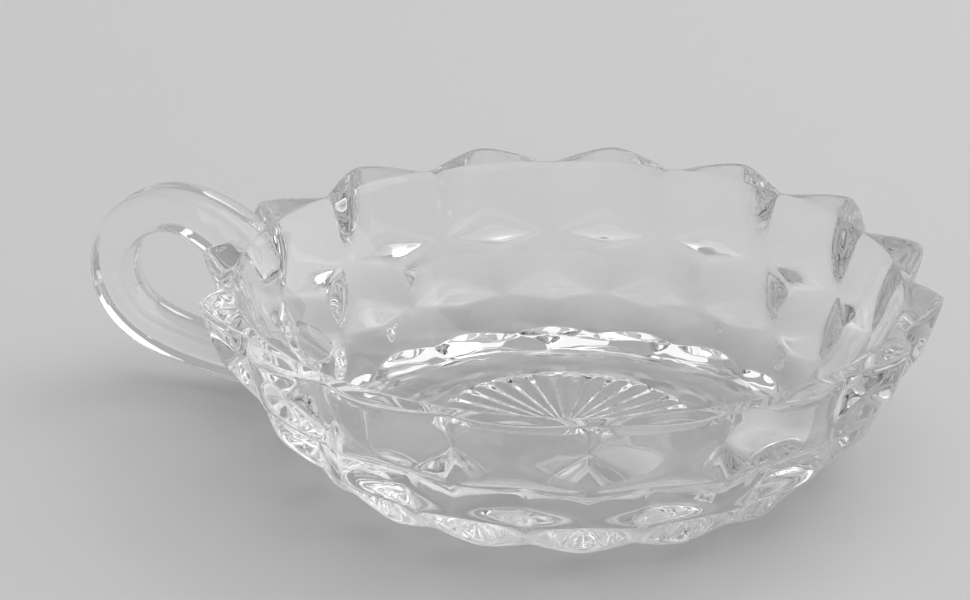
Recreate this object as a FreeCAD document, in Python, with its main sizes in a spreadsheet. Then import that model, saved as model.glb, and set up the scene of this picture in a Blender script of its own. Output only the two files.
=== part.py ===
import FreeCAD, Part
import math
import os
import Sketcher
from FreeCAD import Vector

# A round, flared dish of thick pressed glass with one ring handle.
# Frame: millimetres, +Z up. The origin is on the dish's axis, on the flat base that it
# stands on. The handle's plane of symmetry is XZ, with the handle on the -X side.
#
# The outside is three rows of stacked cubes seen from below. Each cube has a left and a
# right side face that meet in an outer edge, and a thin rhombus underneath. Each row is
# turned half a cube against the row above it. The inside is smooth, and the flat base
# has a star pressed into it. The whole dish is one piece of glass: the bowl and the
# handle are its two forms, and they meet face to face.

os.makedirs("parts", exist_ok=True)
doc = FreeCAD.newDocument("pressed_glass_dish")

# ---------------------------------------------------------------- driving dimensions
DIMENSIONS = [
    ("cube_count", 16),
    # row 1, at the rim: the cube's outer edge, then the groove between two cubes
    ("edge1_top_radius", 63.7),
    ("edge1_top_height", 31.3),
    ("edge1_foot_radius", 60.6),
    ("edge1_foot_height", 19.7),
    ("groove1_top_radius", 59.3),
    ("groove1_top_height", 30.2),
    # row 2: its edges start where the grooves of row 1 end
    ("edge2_top_radius", 56.0),
    ("edge2_top_height", 17.2),
    ("edge2_foot_radius", 53.5),
    ("edge2_foot_height", 9.2),
    ("groove2_top_radius", 51.7),
    ("groove2_top_height", 15.8),
    # row 3: its edges start where the grooves of row 2 end
    ("edge3_top_radius", 48.9),
    ("edge3_top_height", 7.2),
    ("edge3_foot_radius", 44.2),
    ("edge3_foot_height", 1.9),
    ("groove3_top_radius", 45.2),
    ("groove3_top_height", 6.2),
    ("groove3_foot_radius", 43.9),
    ("groove3_foot_height", 0.5),
    # the base: it has a corner under each groove of row 3
    ("base_corner_radius", 43.6),
    ("base_notch_radius", 40.6),
    # smooth inside: a straight flared wall, one large arc and a flat floor
    ("inner_rim_radius", 57.2),
    ("inner_rim_height", 30.8),
    ("inner_floor_height", 4.9),
    ("inner_floor_radius", 25.0),
    ("inner_corner_radius", 29.5),
    ("opening_height", 40.0),
    # star pressed into the base
    ("ray_count", 32),
    ("star_inner_radius", 3.5),
    ("star_outer_radius", 22.8),
    ("ray_inner_width", 0.6),
    ("ray_outer_width", 3.6),
    ("ray_inner_depth", 0.3),
    ("ray_outer_depth", 0.8),
    # ring handle: its centre line in the XZ plane and its rounded square section
    ("ring_centre_distance", 73.5),
    ("ring_centre_height", 21.7),
    ("ring_radius", 12.4),
    ("upper_root_distance", 54.0),
    ("upper_root_height", 25.6),
    ("heel_radius", 20.0),
    ("heel_distance", 60.7),
    ("lower_root_distance", 38.0),
    ("lower_root_height", 6.3),
    ("section_half_height", 3.9),
    ("section_half_width", 4.2),
    ("section_corner_radius", 1.8),
]

sheet = doc.addObject("Spreadsheet::Sheet", "dimensions")
for line, (alias, number) in enumerate(DIMENSIONS, start=1):
    sheet.set("A%d" % line, alias)
    sheet.set("B%d" % line, str(number))
    sheet.setAlias("B%d" % line, alias)
doc.recompute()


def size(alias):
    return float(getattr(sheet, alias))


def origin_feature(body, role):
    for feature in body.Origin.OriginFeatures:
        if feature.Role == role:
            return feature
    raise ValueError("no origin feature " + role)


def new_sketch(body, name, role):
    sketch = body.newObject("Sketcher::SketchObject", name)
    sketch.AttachmentSupport = (origin_feature(body, role), [""])
    sketch.MapMode = "FlatFace"
    return sketch


def bind(sketch, constraint, expression):
    """Add a dimension constraint and bind it to the sheet."""
    number = sketch.addConstraint(constraint)
    sketch.setExpression("Constraints[%d]" % number, expression)
    return number


# ---------------------------------------------------------------- faceted outer blank
def ring_point(prefix, column):
    """A point of the cube pattern. Column 0 is on the handle's axis, one cube is 2."""
    angle = math.pi + math.pi * column / int(size("cube_count"))
    radius = size(prefix + "_radius")
    height = size(prefix + "_height")
    return Vector(radius * math.cos(angle), radius * math.sin(angle), height)


def triangle(a, b, c):
    return Part.Face(Part.makePolygon([a, b, c, a]))


def quad(a, b, c, d):
    """A four-cornered face, as two triangles that share the edge a-c."""
    return [triangle(a, b, c), triangle(a, c, d)]


def cube_faces(row, column):
    """Side faces and underside of the cube whose outer edge is on this column."""
    last = row == 3
    edge_top = ring_point("edge%d_top" % row, column)
    edge_foot = ring_point("edge%d_foot" % row, column)
    next_groove = None if last else ring_point("groove%d_top" % (row + 1), column)
    faces = []
    for side in (-1, 1):
        groove_top = ring_point("groove%d_top" % row, column + side)
        foot_name = "groove3_foot" if last else "edge%d_top" % (row + 1)
        groove_foot = ring_point(foot_name, column + side)
        faces += quad(edge_foot, edge_top, groove_top, groove_foot)
        if not last:
            faces.append(triangle(edge_foot, groove_foot, next_groove))
    return faces


def base_point(column):
    angle = math.pi + math.pi * column / int(size("cube_count"))
    radius = size("base_notch_radius" if column % 2 else "base_corner_radius")
    return Vector(radius * math.cos(angle), radius * math.sin(angle), 0)


def outer_blank_shape():
    """The dish's outside as one solid without its hollow."""
    columns = 2 * int(size("cube_count"))
    faces = []
    first_columns = {1: 1, 2: 0, 3: 1}
    for row, first in first_columns.items():
        for column in range(first, columns, 2):
            faces += cube_faces(row, column)
    top_centre = Vector(0, 0, size("inner_rim_height"))
    for column in range(1, columns, 2):
        edge_top = ring_point("edge1_top", column)
        edge_foot = ring_point("edge3_foot", column)
        for side in (-1, 1):
            faces.append(triangle(top_centre, edge_top, ring_point("groove1_top", column + side)))
            groove_foot = ring_point("groove3_foot", column + side)
            faces += quad(edge_foot, groove_foot, base_point(column + side), base_point(column))
    outline = [base_point(column) for column in range(columns)]
    faces.append(Part.Face(Part.makePolygon(outline + outline[:1])))
    solid = Part.makeSolid(Part.makeShell(faces))
    if solid.Volume < 0:
        solid.reverse()
    return solid


blank = doc.addObject("Part::Feature", "outer_blank")
blank.Shape = outer_blank_shape()
blank.Placement = FreeCAD.Placement()

# ---------------------------------------------------------------- hollow of the bowl
hollow = doc.addObject("PartDesign::Body", "hollow")
profile = new_sketch(hollow, "hollow_profile", "XZ_Plane")
floor_radius = size("inner_floor_radius")
floor_height = size("inner_floor_height")
corner_radius = size("inner_corner_radius")
rim_radius = size("inner_rim_radius")
rim_height = size("inner_rim_height")
top = size("opening_height")
arc_centre = Vector(floor_radius, floor_height + corner_radius, 0)
to_rim = Vector(rim_radius, rim_height, 0) - arc_centre
# the straight wall is tangent to the arc, so its foot is turned back from the rim
turn = math.acos(corner_radius / to_rim.Length)
foot_angle = math.atan2(to_rim.y, to_rim.x) - turn
wall_foot = arc_centre + Vector(math.cos(foot_angle), math.sin(foot_angle), 0) * corner_radius
wall_direction = Vector(-math.sin(foot_angle), math.cos(foot_angle), 0)
wall_top = wall_foot + wall_direction * ((top - wall_foot.y) / wall_direction.y)

corners = [Vector(0, top, 0), Vector(0, floor_height, 0), Vector(floor_radius, floor_height, 0)]
axis_line = profile.addGeometry(Part.LineSegment(corners[0], corners[1]), False)
floor_line = profile.addGeometry(Part.LineSegment(corners[1], corners[2]), False)
circle = Part.Circle(arc_centre, Vector(0, 0, 1), corner_radius)
corner_arc = profile.addGeometry(Part.ArcOfCircle(circle, -math.pi / 2, foot_angle), False)
wall_line = profile.addGeometry(Part.LineSegment(wall_foot, wall_top), False)
top_line = profile.addGeometry(Part.LineSegment(wall_top, corners[0]), False)
START, END, CENTRE = 1, 2, 3
profile.addConstraint(Sketcher.Constraint("Coincident", axis_line, END, floor_line, START))
profile.addConstraint(Sketcher.Constraint("Tangent", floor_line, END, corner_arc, START))
profile.addConstraint(Sketcher.Constraint("Tangent", corner_arc, END, wall_line, START))
profile.addConstraint(Sketcher.Constraint("Coincident", wall_line, END, top_line, START))
profile.addConstraint(Sketcher.Constraint("Coincident", top_line, END, axis_line, START))
profile.addConstraint(Sketcher.Constraint("PointOnObject", axis_line, START, -2))
profile.addConstraint(Sketcher.Constraint("PointOnObject", axis_line, END, -2))
profile.addConstraint(Sketcher.Constraint("Horizontal", floor_line))
profile.addConstraint(Sketcher.Constraint("Horizontal", top_line))
bind(profile, Sketcher.Constraint("DistanceY", -1, START, axis_line, START, top),
     "dimensions.opening_height")
bind(profile, Sketcher.Constraint("DistanceY", -1, START, axis_line, END, floor_height),
     "dimensions.inner_floor_height")
bind(profile, Sketcher.Constraint("DistanceX", floor_line, START, floor_line, END, floor_radius),
     "dimensions.inner_floor_radius")
bind(profile, Sketcher.Constraint("Radius", corner_arc, corner_radius),
     "dimensions.inner_corner_radius")
rim_mark = profile.addGeometry(Part.Point(Vector(rim_radius, rim_height, 0)), True)
bind(profile, Sketcher.Constraint("DistanceX", -1, START, rim_mark, START, rim_radius),
     "dimensions.inner_rim_radius")
bind(profile, Sketcher.Constraint("DistanceY", -1, START, rim_mark, START, rim_height),
     "dimensions.inner_rim_height")
profile.addConstraint(Sketcher.Constraint("PointOnObject", rim_mark, START, wall_line))
revolve = hollow.newObject("PartDesign::Revolution", "hollow_revolution")
revolve.Profile = profile
revolve.ReferenceAxis = (profile, ["V_Axis"])
revolve.Angle = 360.0
doc.recompute()

# ---------------------------------------------------------------- star under the base
star = doc.addObject("PartDesign::Body", "star_cutter")
star.AllowCompound = True


def ray_section(name, distance_alias, width_alias, depth_alias):
    """A triangle across one ray, on a plane square to X, with its flat side below z = 0."""
    sketch = new_sketch(star, name, "YZ_Plane")
    sketch.setExpression("AttachmentOffset.Base.z", "dimensions." + distance_alias)
    half = size(width_alias) / 2
    depth = size(depth_alias)
    below = 0.3
    points = [Vector(-half, -below, 0), Vector(half, -below, 0), Vector(0, depth, 0)]
    for k in range(3):
        sketch.addGeometry(Part.LineSegment(points[k], points[(k + 1) % 3]), False)
    for k in range(3):
        sketch.addConstraint(Sketcher.Constraint("Coincident", k, END, (k + 1) % 3, START))
    sketch.addConstraint(Sketcher.Constraint("Symmetric", 0, START, 0, END, -2))
    sketch.addConstraint(Sketcher.Constraint("PointOnObject", 1, END, -2))
    bind(sketch, Sketcher.Constraint("DistanceX", 0, START, 0, END, 2 * half),
         "dimensions." + width_alias)
    bind(sketch, Sketcher.Constraint("DistanceY", -1, START, 1, END, depth),
         "dimensions." + depth_alias)
    sketch.addConstraint(Sketcher.Constraint("DistanceY", 0, START, -1, START, below))
    return sketch


inner_section = ray_section("ray_inner", "star_inner_radius", "ray_inner_width", "ray_inner_depth")
outer_section = ray_section("ray_outer", "star_outer_radius", "ray_outer_width", "ray_outer_depth")
doc.recompute()
ray = star.newObject("PartDesign::AdditiveLoft", "ray")
ray.Profile = inner_section
ray.Sections = [outer_section]
ray.Ruled = True
doc.recompute()
rays = star.newObject("PartDesign::PolarPattern", "rays")
rays.Originals = [ray]
rays.Axis = (origin_feature(star, "Z_Axis"), [""])
rays.Angle = 360.0
rays.setExpression("Occurrences", "dimensions.ray_count")
star.Tip = rays
doc.recompute()

# ---------------------------------------------------------------- bowl
hollowed = doc.addObject("Part::Cut", "hollowed_blank")
hollowed.Base = blank
hollowed.Tool = hollow
bowl = doc.addObject("Part::Cut", "bowl")
bowl.Base = hollowed
bowl.Tool = star
bowl.Label = "bowl"
doc.recompute()

# ---------------------------------------------------------------- ring handle
handle = doc.addObject("PartDesign::Body", "handle_bar")
path = new_sketch(handle, "handle_path", "XZ_Plane")
ring_centre = Vector(-size("ring_centre_distance"), size("ring_centre_height"), 0)
ring_radius = size("ring_radius")
upper_root = Vector(-size("upper_root_distance"), size("upper_root_height"), 0)
heel_radius = size("heel_radius")
lower_height = size("lower_root_height")
heel_centre = Vector(-size("heel_distance"), lower_height + heel_radius, 0)
lower_root = Vector(-size("lower_root_distance"), lower_height, 0)


def tangent_angle(centre, radius, point):
    """Direction from the centre to where a line from the point touches, on the upper side."""
    away = point - centre
    return math.atan2(away.y, away.x) + math.acos(radius / away.Length)


def on_circle(centre, radius, angle):
    return centre + Vector(math.cos(angle), math.sin(angle), 0) * radius


# the upper arm touches the ring at the top, and the lower arm touches ring and heel arc
upper_angle = tangent_angle(ring_centre, ring_radius, upper_root)
between = heel_centre - ring_centre
lean = math.atan2(between.y, between.x) - math.asin((heel_radius - ring_radius) / between.Length)
lower_angle = lean - math.pi / 2
upper_touch = on_circle(ring_centre, ring_radius, upper_angle)
lower_touch = on_circle(ring_centre, ring_radius, lower_angle)
heel_touch = on_circle(heel_centre, heel_radius, lower_angle)
heel_end = on_circle(heel_centre, heel_radius, -math.pi / 2)

ring_circle = Part.Circle(ring_centre, Vector(0, 0, 1), ring_radius)
heel_circle = Part.Circle(heel_centre, Vector(0, 0, 1), heel_radius)
lower_run = path.addGeometry(Part.LineSegment(lower_root, heel_end), False)
heel_arc = path.addGeometry(Part.ArcOfCircle(heel_circle, lower_angle, -math.pi / 2), False)
lower_arm = path.addGeometry(Part.LineSegment(heel_touch, lower_touch), False)
ring_arc = path.addGeometry(
    Part.ArcOfCircle(ring_circle, upper_angle, lower_angle + 2 * math.pi), False)
upper_arm = path.addGeometry(Part.LineSegment(upper_touch, upper_root), False)
path.addConstraint(Sketcher.Constraint("Tangent", lower_run, END, heel_arc, END))
path.addConstraint(Sketcher.Constraint("Tangent", heel_arc, START, lower_arm, START))
path.addConstraint(Sketcher.Constraint("Tangent", lower_arm, END, ring_arc, END))
path.addConstraint(Sketcher.Constraint("Tangent", ring_arc, START, upper_arm, START))
path.addConstraint(Sketcher.Constraint("Horizontal", lower_run))
PATH_DIMENSIONS = [
    (Sketcher.Constraint("Radius", ring_arc, ring_radius), "ring_radius"),
    (Sketcher.Constraint("Radius", heel_arc, heel_radius), "heel_radius"),
    (Sketcher.Constraint("DistanceX", ring_arc, CENTRE, -1, START, -ring_centre.x),
     "ring_centre_distance"),
    (Sketcher.Constraint("DistanceY", -1, START, ring_arc, CENTRE, ring_centre.y),
     "ring_centre_height"),
    (Sketcher.Constraint("DistanceX", upper_arm, END, -1, START, -upper_root.x),
     "upper_root_distance"),
    (Sketcher.Constraint("DistanceY", -1, START, upper_arm, END, upper_root.y),
     "upper_root_height"),
    (Sketcher.Constraint("DistanceX", heel_arc, CENTRE, -1, START, -heel_centre.x),
     "heel_distance"),
    (Sketcher.Constraint("DistanceX", lower_run, START, -1, START, -lower_root.x),
     "lower_root_distance"),
    (Sketcher.Constraint("DistanceY", -1, START, lower_run, START, lower_height),
     "lower_root_height"),
]
for constraint, alias in PATH_DIMENSIONS:
    bind(path, constraint, "dimensions." + alias)

section = new_sketch(handle, "handle_section", "YZ_Plane")
section.setExpression("AttachmentOffset.Base.z", "-dimensions.lower_root_distance")
half_width = size("section_half_width")
half_height = size("section_half_height")
corner = size("section_corner_radius")
low_side = lower_height - half_height
# four flat sides and the rounded corner after each of them, counter-clockwise
inner_width = half_width - corner
inner_height = half_height - corner
for quarter in range(4):
    turned = quarter * math.pi / 2
    along, across = (inner_width, half_height) if quarter % 2 == 0 else (inner_height, half_width)
    direction = Vector(math.cos(turned), math.sin(turned), 0)
    outwards = Vector(math.sin(turned), -math.cos(turned), 0)
    middle = Vector(0, lower_height, 0)
    start = middle + outwards * across - direction * along
    end = middle + outwards * across + direction * along
    section.addGeometry(Part.LineSegment(start, end), False)
    round_corner = Part.Circle(end - outwards * corner, Vector(0, 0, 1), corner)
    section.addGeometry(
        Part.ArcOfCircle(round_corner, turned - math.pi / 2, turned), False)
for k in range(8):
    section.addConstraint(Sketcher.Constraint("Tangent", k, END, (k + 1) % 8, START))
for line, lie in ((0, "Horizontal"), (2, "Vertical"), (4, "Horizontal"), (6, "Vertical")):
    section.addConstraint(Sketcher.Constraint(lie, line))
for arc in (3, 5, 7):
    section.addConstraint(Sketcher.Constraint("Equal", 1, arc))
bind(section, Sketcher.Constraint("Radius", 1, corner), "dimensions.section_corner_radius")
bind(section, Sketcher.Constraint("DistanceX", 6, START, -1, START, half_width),
     "dimensions.section_half_width")
bind(section, Sketcher.Constraint("DistanceX", 6, START, 2, START, 2 * half_width),
     "2 * dimensions.section_half_width")
bind(section, Sketcher.Constraint("DistanceY", -1, START, 0, START, low_side),
     "dimensions.lower_root_height - dimensions.section_half_height")
bind(section, Sketcher.Constraint("DistanceY", 0, START, 4, START, 2 * half_height),
     "2 * dimensions.section_half_height")
doc.recompute()
pipe = handle.newObject("PartDesign::AdditivePipe", "handle_pipe")
pipe.Profile = section
pipe.Spine = (path, ["Edge%d" % (k + 1) for k in range(5)])
pipe.Mode = "Frenet"
doc.recompute()

outside_wall = doc.addObject("Part::Cut", "handle_outside_wall")
outside_wall.Base = handle
outside_wall.Tool = blank
ring_handle = doc.addObject("Part::Cut", "ring_handle")
ring_handle.Base = outside_wall
ring_handle.Tool = hollow
ring_handle.Label = "ring_handle"
doc.recompute()

# ---------------------------------------------------------------- checks and export
for item in doc.Objects:
    if "Invalid" in item.State or "Error" in item.State:
        raise RuntimeError("failed: %s %s" % (item.Name, item.State))
for part in (bowl, ring_handle):
    if part.Shape.isNull() or not part.Shape.isValid():
        raise RuntimeError("bad shape: " + part.Label)
    if len(part.Shape.Solids) != 1:
        raise RuntimeError("%s has %d solids" % (part.Label, len(part.Shape.Solids)))
    part.Shape.exportStep("parts/%s.step" % part.Label)
    box = part.Shape.BoundBox
    print("%s volume %.0f mm3, x %.1f..%.1f y %.1f..%.1f z %.1f..%.1f" % (
        part.Label, part.Shape.Volume, box.XMin, box.XMax, box.YMin, box.YMax, box.ZMin, box.ZMax))
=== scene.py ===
"""A pressed glass candy dish with one ring handle, on a pale sweep in a soft light tent.

The dish is one piece of clear glass, so one skin of glass stands for both CAD nodes: the
bowl and the ring handle are made as control cages, subdivided, and joined into one closed
mesh. The frame is the CAD's: metres, +Z up, the flat base on z = 0, the handle on -X.
"""

import math

import bmesh
import bpy
from mathutils import Matrix, Vector


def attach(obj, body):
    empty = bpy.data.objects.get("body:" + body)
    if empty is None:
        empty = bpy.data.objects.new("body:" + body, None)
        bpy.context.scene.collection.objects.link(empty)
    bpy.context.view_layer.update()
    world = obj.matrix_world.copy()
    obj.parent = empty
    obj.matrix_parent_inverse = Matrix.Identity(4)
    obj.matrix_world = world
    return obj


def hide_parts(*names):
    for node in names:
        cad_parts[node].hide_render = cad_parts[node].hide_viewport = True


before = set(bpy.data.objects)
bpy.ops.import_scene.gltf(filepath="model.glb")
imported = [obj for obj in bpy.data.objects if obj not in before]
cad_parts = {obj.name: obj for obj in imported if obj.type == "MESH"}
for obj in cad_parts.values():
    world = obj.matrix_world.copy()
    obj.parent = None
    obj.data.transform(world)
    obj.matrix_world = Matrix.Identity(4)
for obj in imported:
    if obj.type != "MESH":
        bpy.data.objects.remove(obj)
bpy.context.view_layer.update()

MM = 0.001
CUBES = 16                      # cubes round each row
FACE_BULGE = 0.45               # how far a cube's side face is rounded outwards, in mm
COLUMNS = 4 * CUBES             # control columns: groove, side, edge, side
HANDLE_AZIMUTH = math.pi        # column 0 is the groove that the handle grows from

# ------------------------------------------------------------------ sizes, in millimetres
# Each row of cubes: radius and height of the outer edge's top and foot, and of the grooves.
# The foot of a row's grooves is the top of the next row's edges.
ROWS = [
    {"edge_top": (64.8, 32.2), "groove_top": (58.9, 29.9), "edge_foot": (61.0, 19.5)},
    {"edge_top": (56.3, 17.2), "groove_top": (51.7, 15.8), "edge_foot": (54.0, 9.1)},
    {"edge_top": (49.2, 7.2), "groove_top": (45.2, 6.2), "edge_foot": (44.2, 1.9)},
]
# the base cuts off the lowest undersides: its outline has corners below the grooves
LAST_GROOVE_FOOT = (43.9, 0.5)
BASE_CORNER = (43.4, 0.0)
BASE_NOTCH = (40.6, 0.1)
FOOT_RINGS = [(37.4, 0.0), (31.0, 0.0), (24.5, 0.0)]
STAR_OUTER_RADIUS = 22.8
STAR_INNER_RADIUS = 3.0
STAR_DEPTH_OUTER = 0.5
STAR_DEPTH_INNER = 0.25
STAR_RAY_START = 0.96           # a ray is at its full depth at this part of the outer radius
# the hollow's rings, from the rim to the floor
RIM_INNER = (57.2, 30.9)
HOLLOW_RINGS = [(56.2, 29.7), (53.8, 24.5), (48.7, 16.5), (42.3, 10.3), (34.8, 6.6),
                (24.0, 5.0), (9.2, 4.8)]
HOLLOW_CENTRE_HEIGHT = 4.8
SUBDIVISIONS = 3


# ------------------------------------------------------------------ bowl
def column_point(radius, height, column):
    angle = HANDLE_AZIMUTH + 2 * math.pi * column / COLUMNS
    return Vector((radius * math.cos(angle), radius * math.sin(angle), height)) * MM


def round_ring(size):
    radius, height = size
    return [column_point(radius, height, column) for column in range(COLUMNS)]


def cube_ring(edge, groove, shift):
    """A zigzag ring: edges and grooves alternate, with rounded side faces between them."""
    ring = [None] * COLUMNS
    for cube in range(CUBES):
        groove_column = (4 * cube + shift) % COLUMNS
        edge_column = (groove_column + 2) % COLUMNS
        ring[groove_column] = column_point(*groove, groove_column)
        ring[edge_column] = column_point(*edge, edge_column)
    for column in range(1, COLUMNS, 2):
        middle = (ring[column - 1] + ring[(column + 1) % COLUMNS]) / 2
        outward = Vector((middle.x, middle.y, 0)).normalized()
        ring[column] = middle + outward * FACE_BULGE * MM
    return ring


def star_ring(radius, depth):
    """A ring of the base in which every other column is pressed up."""
    return [column_point(radius, depth if column % 2 else 0.0, column)
            for column in range(COLUMNS)]


def outer_rings():
    rings = []
    shift = 0
    for row, next_row in zip(ROWS, ROWS[1:] + [None]):
        rings.append(cube_ring(row["edge_top"], row["groove_top"], shift))
        groove_foot = next_row["edge_top"] if next_row else LAST_GROOVE_FOOT
        rings.append(cube_ring(row["edge_foot"], groove_foot, shift))
        shift = 2 - shift
    rings.append(cube_ring(BASE_CORNER, BASE_NOTCH, shift))
    rings += [round_ring(size) for size in FOOT_RINGS]
    rings.append(star_ring(STAR_OUTER_RADIUS, 0.0))
    rings.append(star_ring(STAR_OUTER_RADIUS * STAR_RAY_START, STAR_DEPTH_OUTER))
    rings.append(star_ring(STAR_INNER_RADIUS, STAR_DEPTH_INNER))
    return rings


def bridge(mesh, rings):
    """Add rings of points, one after another, and the faces between them."""
    rows = [[mesh.verts.new(point) for point in ring] for ring in rings]
    for upper, lower in zip(rows, rows[1:]):
        for column in range(len(upper)):
            following = (column + 1) % len(upper)
            mesh.faces.new([upper[column], upper[following], lower[following], lower[column]])
    return rows


def cap(mesh, ring, height):
    """Close a ring with a fan round a point on the axis."""
    centre = mesh.verts.new((0, 0, height * MM))
    for column in range(len(ring)):
        mesh.faces.new([centre, ring[column], ring[(column + 1) % len(ring)]])


# how sharp each kind of edge stays, from 0 for round to 1 for sharp
RIM_CREASE = 0.55
CONVEX_CREASE = 0.15
CONCAVE_CREASE = 0.8
BASE_CREASE = 0.6
STAR_CREASE = 0.2
FLATTEST_CREASE = math.radians(8)
STAR_LIMIT = STAR_OUTER_RADIUS + 0.2    # edges inside this radius belong to the star
BASE_LIMIT = 0.5                        # edges below this height outline the base
CUBES_LIMIT = 40.5                      # edges outside this radius belong to the cubes
RIM_LIMIT = 29.5                        # edges above this height belong to the rim


def crease_cubes(mesh):
    """Grooves stay sharp, outer edges are broadly rounded, and the rim is between."""
    layer = mesh.edges.layers.float.new("crease_edge")
    for edge in mesh.edges:
        angle = edge.calc_face_angle_signed(0.0)
        if abs(angle) < FLATTEST_CREASE:
            continue
        radius = sum(vert.co.xy.length for vert in edge.verts) / 2 / MM
        lowest, highest = sorted(vert.co.z / MM for vert in edge.verts)
        if radius < STAR_LIMIT:
            edge[layer] = STAR_CREASE
        elif highest < BASE_LIMIT:
            edge[layer] = BASE_CREASE
        elif radius > CUBES_LIMIT:
            if lowest > RIM_LIMIT:
                edge[layer] = RIM_CREASE
            else:
                edge[layer] = CONVEX_CREASE if angle > 0 else CONCAVE_CREASE


def mesh_object(name, mesh):
    """An object from a control cage, subdivided to its round shape."""
    data = bpy.data.meshes.new(name)
    mesh.to_mesh(data)
    mesh.free()
    data.polygons.foreach_set("use_smooth", [True] * len(data.polygons))
    made = bpy.data.objects.new(name, data)
    bpy.context.scene.collection.objects.link(made)
    modifier = made.modifiers.new("rounding", "SUBSURF")
    modifier.levels = modifier.render_levels = SUBDIVISIONS
    return made


def make_bowl():
    mesh = bmesh.new()
    hollow = [round_ring(size) for size in reversed(HOLLOW_RINGS)]
    rings = bridge(mesh, hollow + [round_ring(RIM_INNER)] + outer_rings())
    cap(mesh, rings[0], HOLLOW_CENTRE_HEIGHT)
    cap(mesh, rings[-1], STAR_DEPTH_INNER / 2)
    bmesh.ops.remove_doubles(mesh, verts=mesh.verts, dist=1e-7)
    bmesh.ops.recalc_face_normals(mesh, faces=mesh.faces)
    crease_cubes(mesh)
    return mesh_object("bowl_cage", mesh)


# ------------------------------------------------------------------ ring handle
# centre line in the XZ plane, from inside the rim round to inside the foot: distance from
# the axis, height, thickness in the plane, width across it
HANDLE_STATIONS = [
    (54.6, 23.2, 9.4, 10.6),
    (58.2, 26.2, 9.6, 10.2),
    (61.2, 28.7, 9.4, 9.6),
    (64.9, 31.1, 9.0, 9.0),
    (70.2, 33.6, 8.2, 8.6),
    (76.0, 33.7, 7.8, 8.4),
    (81.8, 31.0, 7.8, 8.4),
    (85.4, 26.0, 7.8, 8.4),
    (86.0, 20.4, 7.8, 8.4),
    (84.6, 15.8, 7.6, 8.4),
    (81.6, 12.3, 7.4, 8.4),
    (77.4, 9.9, 7.2, 8.4),
    (71.5, 8.2, 7.2, 8.4),
    (65.0, 7.1, 7.2, 8.6),
    (58.0, 6.4, 7.4, 9.2),
    (52.0, 6.2, 8.0, 10.0),
    (47.0, 6.2, 8.4, 11.0),
]
# rounded rectangle of the bar's section, as fractions of half thickness and half width
CORNER = 0.78
SECTION = [(1, 0), (1, CORNER), (CORNER, 1), (0, 1), (-CORNER, 1), (-1, CORNER), (-1, 0),
           (-1, -CORNER), (-CORNER, -1), (0, -1), (CORNER, -1), (1, -CORNER)]
# the wall line of the hollow, carried on above the rim
HOLLOW_ABOVE = (72.6, 60.0)
ROOT_TRIM = 0.3                 # how deep in the wall the handle's root ends


def make_root_trimmer():
    """The hollow, a little wider: it keeps the handle's root inside the wall."""
    mesh = bmesh.new()
    sizes = list(reversed(HOLLOW_RINGS)) + [RIM_INNER, HOLLOW_ABOVE]
    rings = bridge(mesh, [round_ring((radius + ROOT_TRIM, height)) for radius, height in sizes])
    cap(mesh, rings[0], HOLLOW_CENTRE_HEIGHT)
    cap(mesh, rings[-1], HOLLOW_ABOVE[1])
    bmesh.ops.recalc_face_normals(mesh, faces=mesh.faces)
    return mesh_object("root_trimmer", mesh)


def make_handle():
    """Sections set square to the centre line, joined into one bar."""
    mesh = bmesh.new()
    points = [Vector((-distance, 0, height)) for distance, height, _, _ in HANDLE_STATIONS]
    across = Vector((0, 1, 0))
    rings = []
    for index, (_, _, thickness, width) in enumerate(HANDLE_STATIONS):
        before = points[max(index - 1, 0)]
        after = points[min(index + 1, len(points) - 1)]
        along = (after - before).normalized()
        outward = across.cross(along)
        ring = []
        for out, side in SECTION:
            offset = outward * (out * thickness / 2) + across * (side * width / 2)
            ring.append((points[index] + offset) * MM)
        rings.append(ring)
    rows = bridge(mesh, rings)
    mesh.faces.new(rows[0])
    mesh.faces.new(rows[-1])
    bmesh.ops.recalc_face_normals(mesh, faces=mesh.faces)
    return mesh_object("handle_cage", mesh)


def boolean(made, operation, other):
    modifier = made.modifiers.new(operation.lower(), "BOOLEAN")
    modifier.operation = operation
    modifier.solver = "EXACT"
    modifier.object = other


def join_glass(bowl, handle):
    """One closed skin: the union of the two, with the glass inside the joint left out."""
    trimmer = make_root_trimmer()
    boolean(handle, "DIFFERENCE", trimmer)
    boolean(bowl, "UNION", handle)
    graph = bpy.context.evaluated_depsgraph_get()
    data = bpy.data.meshes.new_from_object(bowl.evaluated_get(graph))
    data.name = "glass_dish"
    for cage in (bowl, handle, trimmer):
        bpy.data.objects.remove(cage)
    data.polygons.foreach_set("use_smooth", [True] * len(data.polygons))
    dish = bpy.data.objects.new("glass_dish", data)
    bpy.context.scene.collection.objects.link(dish)
    return dish


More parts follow.
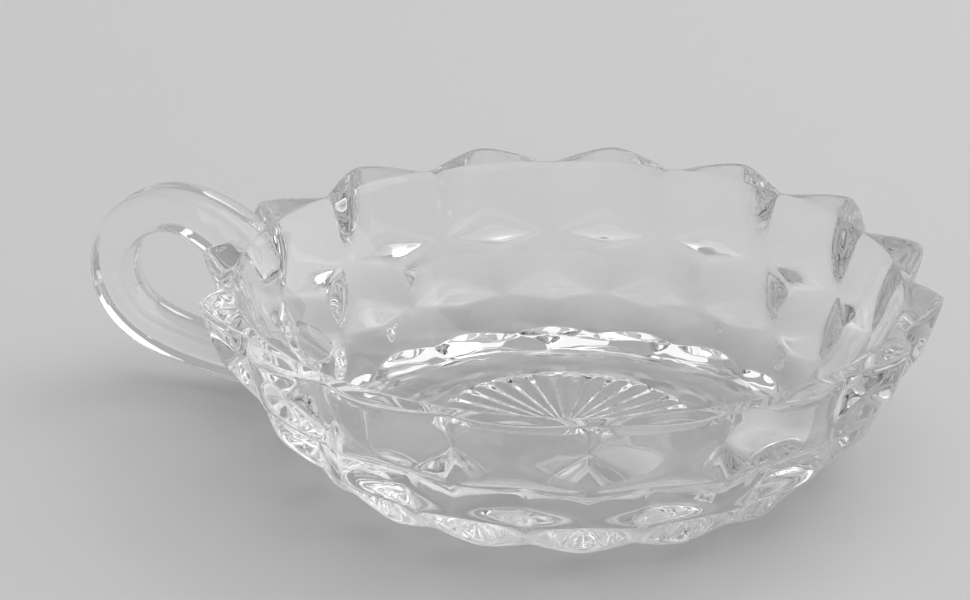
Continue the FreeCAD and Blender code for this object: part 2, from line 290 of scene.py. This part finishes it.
# ------------------------------------------------------------------ materials
def glass_material():
    material = bpy.data.materials.new("clear_pressed_glass")
    material.use_nodes = True
    nodes = material.node_tree.nodes
    links = material.node_tree.links
    shader = nodes["Principled BSDF"]
    shader.inputs["Base Color"].default_value = (0.998, 1.0, 0.999, 1)
    shader.inputs["IOR"].default_value = 1.5
    shader.inputs["Transmission Weight"].default_value = 1.0
    coordinates = nodes.new("ShaderNodeTexCoord")

    ripple = nodes.new("ShaderNodeTexNoise")
    ripple.inputs["Scale"].default_value = 95.0
    ripple.inputs["Detail"].default_value = 2.0
    links.new(coordinates.outputs["Object"], ripple.inputs["Vector"])
    bump = nodes.new("ShaderNodeBump")
    bump.inputs["Strength"].default_value = 0.10
    bump.inputs["Distance"].default_value = 0.0012
    links.new(ripple.outputs["Fac"], bump.inputs["Height"])
    links.new(bump.outputs["Normal"], shader.inputs["Normal"])

    wear = nodes.new("ShaderNodeTexNoise")
    wear.inputs["Scale"].default_value = 420.0
    wear.inputs["Detail"].default_value = 4.0
    links.new(coordinates.outputs["Object"], wear.inputs["Vector"])
    roughness = nodes.new("ShaderNodeMapRange")
    roughness.inputs["From Min"].default_value = 0.35
    roughness.inputs["From Max"].default_value = 0.75
    roughness.inputs["To Min"].default_value = 0.004
    roughness.inputs["To Max"].default_value = 0.035
    links.new(wear.outputs["Fac"], roughness.inputs["Value"])
    links.new(roughness.outputs["Result"], shader.inputs["Roughness"])
    return material


def sweep_material():
    material = bpy.data.materials.new("pale_sweep")
    material.use_nodes = True
    shader = material.node_tree.nodes["Principled BSDF"]
    shader.inputs["Base Color"].default_value = (0.8, 0.8, 0.8, 1)
    shader.inputs["Roughness"].default_value = 0.7
    return material


dish = join_glass(make_bowl(), make_handle())
dish.data.materials.clear()
dish.data.materials.append(glass_material())
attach(dish, "root")
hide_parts("bowl", "ring_handle")


# ------------------------------------------------------------------ stage, in metres
VIEW_TURN = math.radians(-18.6)     # the camera looks along +Y, turned this far towards +X
SWEEP_HALF_WIDTH = 3.0
SWEEP_FRONT = -2.0
SWEEP_BEND_START = 1.2
SWEEP_BEND_RADIUS = 0.8
SWEEP_BEND_STEPS = 8
SWEEP_TOP = 2.2
SWEEP_GAP = 0.0002                  # keeps the floor clear of the glass that stands on it


def make_sweep():
    """A pale floor that curves up into a backdrop far behind the dish."""
    mesh = bmesh.new()
    profile = [(SWEEP_FRONT, 0.0), (SWEEP_BEND_START, 0.0)]
    for step in range(1, SWEEP_BEND_STEPS + 1):
        angle = math.radians(90) * step / SWEEP_BEND_STEPS
        profile.append((SWEEP_BEND_START + SWEEP_BEND_RADIUS * math.sin(angle),
                        SWEEP_BEND_RADIUS * (1 - math.cos(angle))))
    profile.append((SWEEP_BEND_START + SWEEP_BEND_RADIUS, SWEEP_TOP))
    rows = []
    for forward, up in profile:
        rows.append([mesh.verts.new((side * SWEEP_HALF_WIDTH, forward, up - SWEEP_GAP))
                     for side in (-1, 1)])
    for near, far in zip(rows, rows[1:]):
        mesh.faces.new([near[0], near[1], far[1], far[0]])
    data = bpy.data.meshes.new("sweep")
    mesh.to_mesh(data)
    mesh.free()
    data.polygons.foreach_set("use_smooth", [True] * len(data.polygons))
    sweep = bpy.data.objects.new("sweep", data)
    bpy.context.scene.collection.objects.link(sweep)
    data.materials.append(sweep_material())
    sweep.rotation_euler = (0, 0, -VIEW_TURN)


# ------------------------------------------------------------------ camera
VIEW_DIP = math.radians(22.3)
VIEW_ROLL = math.radians(-1.0)
RIM_RADIUS = 61.5 * MM
RIM_HEIGHT = 30.75 * MM
CAMERA_DISTANCE = 10.0 * RIM_RADIUS
CAMERA_LENS = 133.6
# the camera aims a little to the left of the rim's middle, and below it
AIM_ASIDE = math.tan(math.radians(-1.329))
AIM_UP = math.tan(math.radians(-0.334))
LEVEL_FORWARD = Vector((math.sin(VIEW_TURN), math.cos(VIEW_TURN), 0))
LEVEL_RIGHT = Vector((math.cos(VIEW_TURN), -math.sin(VIEW_TURN), 0))
STRAIGHT_UP = Vector((0, 0, 1))


def view_axes():
    """The camera's right, up and forward before it is aimed."""
    forward = LEVEL_FORWARD * math.cos(VIEW_DIP) - STRAIGHT_UP * math.sin(VIEW_DIP)
    upward = LEVEL_FORWARD * math.sin(VIEW_DIP) + STRAIGHT_UP * math.cos(VIEW_DIP)
    right = LEVEL_RIGHT * math.cos(VIEW_ROLL) - upward * math.sin(VIEW_ROLL)
    up = LEVEL_RIGHT * math.sin(VIEW_ROLL) + upward * math.cos(VIEW_ROLL)
    return right, up, forward


def make_camera():
    data = bpy.data.cameras.new("camera")
    camera = bpy.data.objects.new("camera", data)
    bpy.context.scene.collection.objects.link(camera)
    bpy.context.scene.camera = camera
    data.sensor_width = 36
    data.lens = CAMERA_LENS
    data.clip_start = 0.01
    right, up, forward = view_axes()
    place = STRAIGHT_UP * RIM_HEIGHT - forward * CAMERA_DISTANCE
    aim = (forward + right * AIM_ASIDE + up * AIM_UP).normalized()
    side = aim.cross(up).normalized()
    camera.matrix_world = Matrix((side, side.cross(aim), -aim)).transposed().to_4x4()
    camera.matrix_world.translation = place


# ------------------------------------------------------------------ light
LIGHT_TARGET = Vector((0, 0, 0.02))


def area_light(name, place, width, height, power):
    """A panel of light that faces the dish."""
    data = bpy.data.lights.new(name, "AREA")
    data.shape = "RECTANGLE"
    data.size = width
    data.size_y = height
    data.energy = power
    light = bpy.data.objects.new(name, data)
    bpy.context.scene.collection.objects.link(light)
    light.location = place
    light.rotation_euler = (LIGHT_TARGET - place).to_track_quat("-Z", "Y").to_euler()


def view_place(right, back, up):
    """A place given from the camera's side: to the right, away from the camera, and up."""
    return LEVEL_RIGHT * right + LEVEL_FORWARD * back + STRAIGHT_UP * up


def make_light():
    """A soft tent: an even world, a large panel at the right and one overhead."""
    world = bpy.data.worlds.new("tent")
    bpy.context.scene.world = world
    world.use_nodes = True
    background = world.node_tree.nodes["Background"]
    background.inputs["Color"].default_value = (0.8, 0.8, 0.8, 1)
    background.inputs["Strength"].default_value = 0.5
    area_light("panel_right", view_place(1.7, 1.1, 1.4), 3.0, 2.4, 24)
    area_light("panel_top", view_place(0.4, 0.1, 1.9), 2.6, 2.0, 10)


make_sweep()
make_camera()
make_light()
scene = bpy.context.scene
scene.view_settings.view_transform = "Standard"
# light that is trapped in the glass needs many bounces to come out again
scene.cycles.max_bounces = 40
scene.cycles.transmission_bounces = 40
scene.cycles.glossy_bounces = 12
